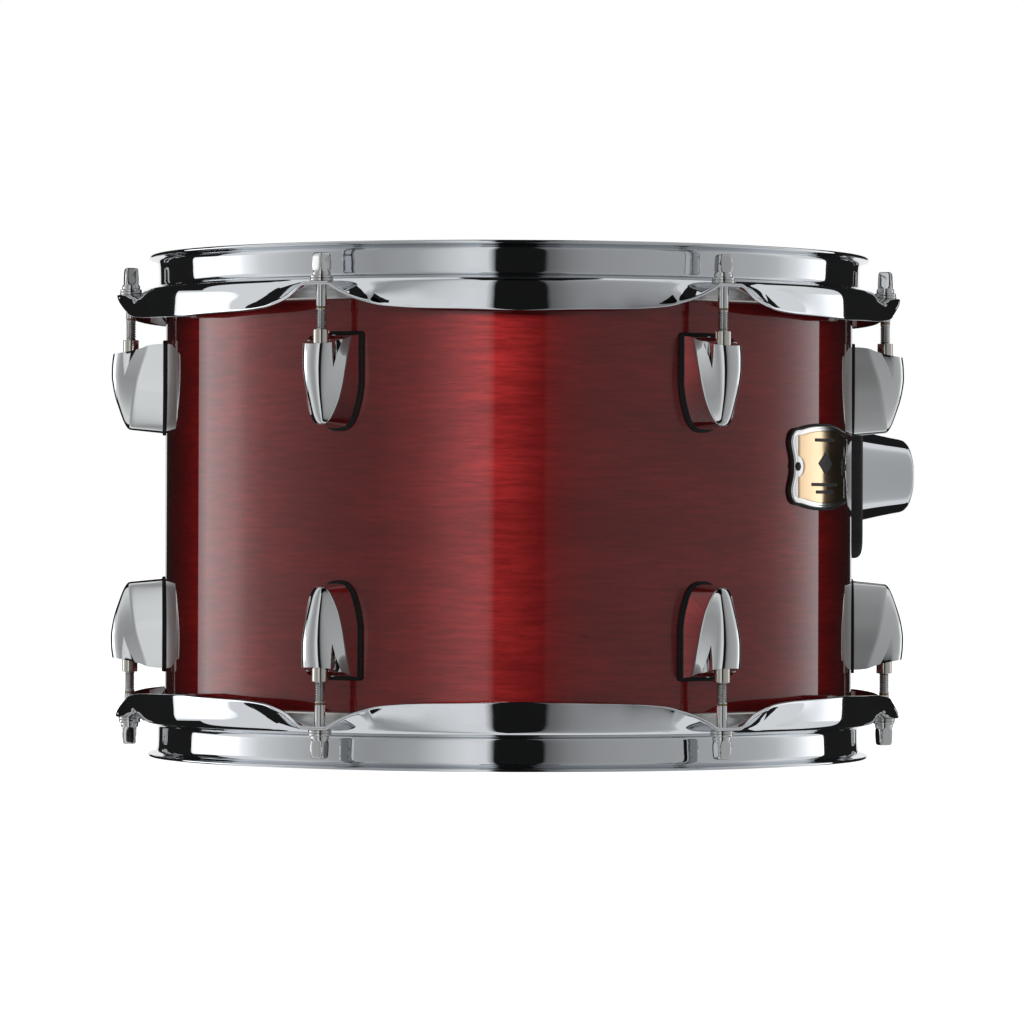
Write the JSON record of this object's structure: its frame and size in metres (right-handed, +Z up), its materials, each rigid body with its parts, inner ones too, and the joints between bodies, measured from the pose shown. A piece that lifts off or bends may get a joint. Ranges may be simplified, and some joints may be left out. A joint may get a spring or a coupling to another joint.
{
  "type": "tom tom drum",
  "caption": "Double-headed rack tom: lacquered wood shell, chrome triple-flanged hoops, single-ended lugs, square-head tension rods and a side receiver for a tom arm.",
  "frame": {"origin": "centre of the circle on which the drum stands, level with the lower rim's face", "axes": "+Z up along the drum axis towards the batter head, -Y towards the badge, +X to the right as the badge is faced"},
  "size_m": [0.3518, 0.324, 0.22],
  "materials": {
    "shell_lacquer": "clear gloss lacquer over red-stained birch",
    "hoop_chrome": "polished",
    "lug_chrome": "polished",
    "rod_chrome": "polished",
    "mount_chrome": "polished",
    "washer_steel": "plated",
    "nut_steel": "plated",
    "screw_steel": "zinc plated",
    "grommet_steel": "plated",
    "flesh_aluminium": "satin",
    "coated_film": "white sprayed coating",
    "clear_film": "clear",
    "gasket_rubber": "matt",
    "badge_backing": "matt",
    "badge_metal": "champagne plate",
    "badge_rivet": "black",
    "mount_black": "satin",
    "bushing_plastic": "satin"
  },
  "bodies": {
    "shell": {"badge_gasket": "badge_backing", "badge_plate": "badge_metal", "badge_rivets": "badge_rivet", "batter_lug_1": "lug_chrome", "batter_lug_2": "lug_chrome", "batter_lug_3": "lug_chrome", "batter_lug_4": "lug_chrome", "batter_lug_5": "lug_chrome", "batter_lug_6": "lug_chrome", "batter_lug_gaskets": "gasket_rubber", "batter_lug_nuts": "nut_steel", "batter_lug_screws": "screw_steel", "batter_lug_washers": "screw_steel", "mount_backing": "screw_steel", "mount_bolts": "screw_steel", "mount_bushing": "bushing_plastic", "mount_gasket": "gasket_rubber", "mount_housing": "mount_chrome", "mount_plate": "mount_black", "mount_washers": "screw_steel", "resonant_lug_1": "lug_chrome", "resonant_lug_2": "lug_chrome", "resonant_lug_3": "lug_chrome", "resonant_lug_4": "lug_chrome", "resonant_lug_5": "lug_chrome", "resonant_lug_6": "lug_chrome", "resonant_lug_gaskets": "gasket_rubber", "resonant_lug_nuts": "nut_steel", "resonant_lug_screws": "screw_steel", "resonant_lug_washers": "screw_steel", "shell": "shell_lacquer", "vent_grommet": "grommet_steel"},
    "batter_head": {"batter_hoop": "hoop_chrome", "batter_film": "coated_film", "batter_collar": "coated_film", "batter_flesh_hoop": "flesh_aluminium", "batter_rod_washers": "washer_steel"},
    "batter_rod_1_body": {"batter_rod_1": "rod_chrome"},
    "batter_rod_2_body": {"batter_rod_2": "rod_chrome"},
    "batter_rod_3_body": {"batter_rod_3": "rod_chrome"},
    "batter_rod_4_body": {"batter_rod_4": "rod_chrome"},
    "batter_rod_5_body": {"batter_rod_5": "rod_chrome"},
    "batter_rod_6_body": {"batter_rod_6": "rod_chrome"},
    "resonant_head": {"resonant_hoop": "hoop_chrome", "resonant_film": "clear_film", "resonant_collar": "clear_film", "resonant_flesh_hoop": "flesh_aluminium", "resonant_rod_washers": "washer_steel"},
    "resonant_rod_1_body": {"resonant_rod_1": "rod_chrome"},
    "resonant_rod_2_body": {"resonant_rod_2": "rod_chrome"},
    "resonant_rod_3_body": {"resonant_rod_3": "rod_chrome"},
    "resonant_rod_4_body": {"resonant_rod_4": "rod_chrome"},
    "resonant_rod_5_body": {"resonant_rod_5": "rod_chrome"},
    "resonant_rod_6_body": {"resonant_rod_6": "rod_chrome"},
    "clamp_pad": {"mount_clamp_pad": "screw_steel"},
    "wing_screw": {"mount_wing_screw": "mount_chrome"}
  },
  "joints": [
    {"name": "batter_hoop_lift", "type": "slide", "parent": "shell", "child": "batter_head", "axis": [0, 0, 1], "range_m": [0, 0.026]},
    {"name": "batter_rod_1_turn", "type": "hinge", "parent": "batter_head", "child": "batter_rod_1_body", "pos_m": [0.0837, -0.14497, 0.2], "axis": [0, 0, 1], "range_deg": [0, 8850]},
    {"name": "batter_rod_2_turn", "type": "hinge", "parent": "batter_head", "child": "batter_rod_2_body", "pos_m": [0.1674, 0, 0.2], "axis": [0, 0, 1], "range_deg": [0, 8850]},
    {"name": "batter_rod_3_turn", "type": "hinge", "parent": "batter_head", "child": "batter_rod_3_body", "pos_m": [0.0837, 0.14497, 0.2], "axis": [0, 0, 1], "range_deg": [0, 8850]},
    {"name": "batter_rod_4_turn", "type": "hinge", "parent": "batter_head", "child": "batter_rod_4_body", "pos_m": [-0.0837, 0.14497, 0.2], "axis": [0, 0, 1], "range_deg": [0, 8850]},
    {"name": "batter_rod_5_turn", "type": "hinge", "parent": "batter_head", "child": "batter_rod_5_body", "pos_m": [-0.1674, 0, 0.2], "axis": [0, 0, 1], "range_deg": [0, 8850]},
    {"name": "batter_rod_6_turn", "type": "hinge", "parent": "batter_head", "child": "batter_rod_6_body", "pos_m": [-0.0837, -0.14497, 0.2], "axis": [0, 0, 1], "range_deg": [0, 8850]},
    {"name": "resonant_hoop_lift", "type": "slide", "parent": "shell", "child": "resonant_head", "axis": [0, 0, -1], "range_m": [0, 0.026]},
    {"name": "resonant_rod_1_turn", "type": "hinge", "parent": "resonant_head", "child": "resonant_rod_1_body", "pos_m": [0.0837, -0.14497, 0.02], "axis": [0, 0, -1], "range_deg": [0, 8850]},
    {"name": "resonant_rod_2_turn", "type": "hinge", "parent": "resonant_head", "child": "resonant_rod_2_body", "pos_m": [0.1674, 0, 0.02], "axis": [0, 0, -1], "range_deg": [0, 8850]},
    {"name": "resonant_rod_3_turn", "type": "hinge", "parent": "resonant_head", "child": "resonant_rod_3_body", "pos_m": [0.0837, 0.14497, 0.02], "axis": [0, 0, -1], "range_deg": [0, 8850]},
    {"name": "resonant_rod_4_turn", "type": "hinge", "parent": "resonant_head", "child": "resonant_rod_4_body", "pos_m": [-0.0837, 0.14497, 0.02], "axis": [0, 0, -1], "range_deg": [0, 8850]},
    {"name": "resonant_rod_5_turn", "type": "hinge", "parent": "resonant_head", "child": "resonant_rod_5_body", "pos_m": [-0.1674, 0, 0.02], "axis": [0, 0, -1], "range_deg": [0, 8850]},
    {"name": "resonant_rod_6_turn", "type": "hinge", "parent": "resonant_head", "child": "resonant_rod_6_body", "pos_m": [-0.0837, -0.14497, 0.02], "axis": [0, 0, -1], "range_deg": [0, 8850]},
    {"name": "clamp_travel", "type": "slide", "parent": "shell", "child": "clamp_pad", "axis": [-0.7071, -0.7071, 0], "range_m": [0, 0.002]},
    {"name": "wing_turn", "type": "hinge", "parent": "clamp_pad", "child": "wing_screw", "pos_m": [0.14425, -0.09899, 0.125], "axis": [-0.7071, -0.7071, 0], "range_deg": [0, 730]}
  ],
  "couplings": [
    {"joint": "batter_rod_1_turn", "follows": "batter_hoop_lift", "rad_per_m": 5936.9},
    {"joint": "batter_rod_2_turn", "follows": "batter_hoop_lift", "rad_per_m": 5936.9},
    {"joint": "batter_rod_3_turn", "follows": "batter_hoop_lift", "rad_per_m": 5936.9},
    {"joint": "batter_rod_4_turn", "follows": "batter_hoop_lift", "rad_per_m": 5936.9},
    {"joint": "batter_rod_5_turn", "follows": "batter_hoop_lift", "rad_per_m": 5936.9},
    {"joint": "batter_rod_6_turn", "follows": "batter_hoop_lift", "rad_per_m": 5936.9},
    {"joint": "resonant_rod_1_turn", "follows": "resonant_hoop_lift", "rad_per_m": 5936.9},
    {"joint": "resonant_rod_2_turn", "follows": "resonant_hoop_lift", "rad_per_m": 5936.9},
    {"joint": "resonant_rod_3_turn", "follows": "resonant_hoop_lift", "rad_per_m": 5936.9},
    {"joint": "resonant_rod_4_turn", "follows": "resonant_hoop_lift", "rad_per_m": 5936.9},
    {"joint": "resonant_rod_5_turn", "follows": "resonant_hoop_lift", "rad_per_m": 5936.9},
    {"joint": "resonant_rod_6_turn", "follows": "resonant_hoop_lift", "rad_per_m": 5936.9},
    {"joint": "wing_turn", "follows": "clamp_travel", "rad_per_m": 6283.2}
  ]
}
